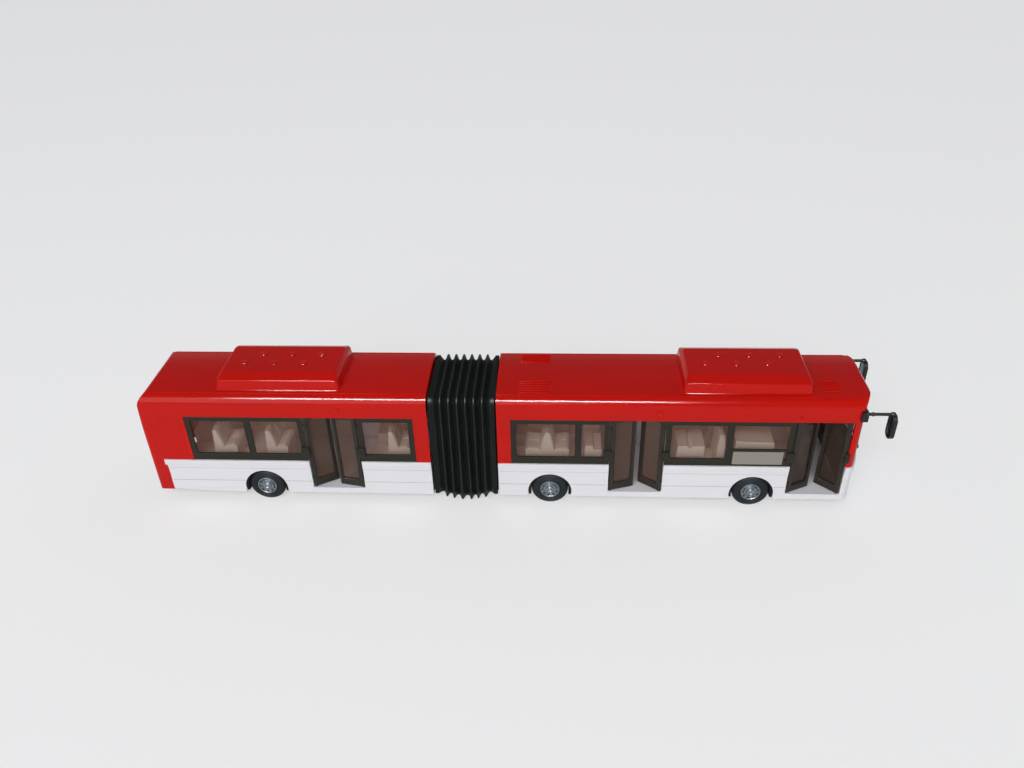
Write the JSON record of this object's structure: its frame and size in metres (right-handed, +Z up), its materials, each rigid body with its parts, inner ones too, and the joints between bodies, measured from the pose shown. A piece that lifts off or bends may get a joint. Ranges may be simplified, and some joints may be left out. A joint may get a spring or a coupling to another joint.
{
  "type": "toy articulated city bus",
  "caption": "Toy city bus in two hollow cars hinged at a pleated bellows, with rolling wheels and inward-swinging door leaves on its right side.",
  "frame": {"origin": "centre of the overall box, on the surface the wheels stand on", "axes": "+X towards the nose, +Y to the bus's left, +Z up; the doors face -Y"},
  "size_m": [0.384, 0.0562, 0.0772],
  "materials": {
    "red_body": "glossy moulded red",
    "white_skirt": "glossy moulded white",
    "black_base": "fine grain",
    "cream_seats": "satin moulded cream",
    "dark_frame": "satin",
    "door_frame": "satin",
    "smoke_glazing": "smoke-brown tint",
    "bellows": "soft satin",
    "bellows_ring": "satin",
    "tyre": "matt",
    "hub": "silver-grey paint",
    "steel_pin": "drawn",
    "red_lens": "ribbed lens",
    "clear_lens": "silvered lens",
    "black_trim": "satin black",
    "pale_board": "satin, blank",
    "grey_dash": "grain"
  },
  "bodies": {
    "front_car": {"front_shell": "red_body", "front_skirt": "white_skirt", "front_chassis": "black_base", "front_seats": "cream_seats", "front_window_frames": "dark_frame", "front_window_glass": "smoke_glazing", "route_board": "pale_board", "front_roof_unit": "red_body", "windscreen_frame": "dark_frame", "windscreen": "smoke_glazing", "headlamps": "clear_lens", "destination_panel": "black_trim", "mirrors": "black_trim", "dashboard": "grey_dash", "steering_wheel": "black_trim", "front_bellows_ring": "bellows_ring"},
    "rear_car": {"rear_shell": "red_body", "rear_skirt": "white_skirt", "rear_chassis": "black_base", "rear_seats": "cream_seats", "rear_window_frames": "dark_frame", "rear_window_glass": "smoke_glazing", "rear_roof_unit": "red_body", "rear_screen": "smoke_glazing", "tail_lamps": "red_lens", "engine_grille": "black_trim", "rear_bellows_ring": "bellows_ring", "bellows": "bellows", "pivot_pin": "steel_pin"},
    "rear_wheels": {"rear_axle_rod": "steel_pin", "rear_hubs": "hub", "rear_tyres": "tyre"},
    "middle_wheels": {"middle_axle_rod": "steel_pin", "middle_hubs": "hub", "middle_tyres": "tyre"},
    "front_wheels": {"front_axle_rod": "steel_pin", "front_hubs": "hub", "front_tyres": "tyre"},
    "rear_door_aft": {"rear_door_aft_leaf": "door_frame", "rear_door_aft_pane": "smoke_glazing"},
    "rear_door_fore": {"rear_door_fore_leaf": "door_frame", "rear_door_fore_pane": "smoke_glazing"},
    "middle_door_aft": {"middle_door_aft_leaf": "door_frame", "middle_door_aft_pane": "smoke_glazing"},
    "middle_door_fore": {"middle_door_fore_leaf": "door_frame", "middle_door_fore_pane": "smoke_glazing"},
    "front_door_aft": {"front_door_aft_leaf": "door_frame", "front_door_aft_pane": "smoke_glazing"},
    "front_door_fore": {"front_door_fore_leaf": "door_frame", "front_door_fore_pane": "smoke_glazing"}
  },
  "joints": [
    {"name": "articulation", "type": "hinge", "parent": "front_car", "child": "rear_car", "pos_m": [-0.02295, 0, 0.0064], "axis": [0, 0, 1], "range_deg": [-40, 40], "deforming": ["bellows"]},
    {"name": "rear_wheels_roll", "type": "hinge", "parent": "rear_car", "child": "rear_wheels", "pos_m": [-0.1317, 0, 0.00975], "axis": [0, 1, 0], "continuous": true},
    {"name": "middle_wheels_roll", "type": "hinge", "parent": "front_car", "child": "middle_wheels", "pos_m": [0.022, 0, 0.00975], "axis": [0, 1, 0], "continuous": true},
    {"name": "front_wheels_roll", "type": "hinge", "parent": "front_car", "child": "front_wheels", "pos_m": [0.128, 0, 0.00975], "axis": [0, 1, 0], "continuous": true},
    {"name": "rear_door_aft_hinge", "type": "hinge", "parent": "rear_car", "child": "rear_door_aft", "pos_m": [-0.1046, -0.0227, 0.0095], "axis": [0, 0, 1], "range_deg": [-31, 49]},
    {"name": "rear_door_fore_hinge", "type": "hinge", "parent": "rear_car", "child": "rear_door_fore", "pos_m": [-0.0787, -0.0227, 0.0095], "axis": [0, 0, -1], "range_deg": [-11, 69]},
    {"name": "middle_door_aft_hinge", "type": "hinge", "parent": "front_car", "child": "middle_door_aft", "pos_m": [0.0539, -0.0227, 0.0095], "axis": [0, 0, 1], "range_deg": [-18, 62]},
    {"name": "middle_door_fore_hinge", "type": "hinge", "parent": "front_car", "child": "middle_door_fore", "pos_m": [0.0798, -0.0227, 0.0095], "axis": [0, 0, -1], "range_deg": [-36, 44]},
    {"name": "front_door_aft_hinge", "type": "hinge", "parent": "front_car", "child": "front_door_aft", "pos_m": [0.1467, -0.0227, 0.0095], "axis": [0, 0, 1], "range_deg": [-26, 54]},
    {"name": "front_door_fore_hinge", "type": "hinge", "parent": "front_car", "child": "front_door_fore", "pos_m": [0.1726, -0.0227, 0.0095], "axis": [0, 0, -1], "range_deg": [-42, 38]}
  ]
}
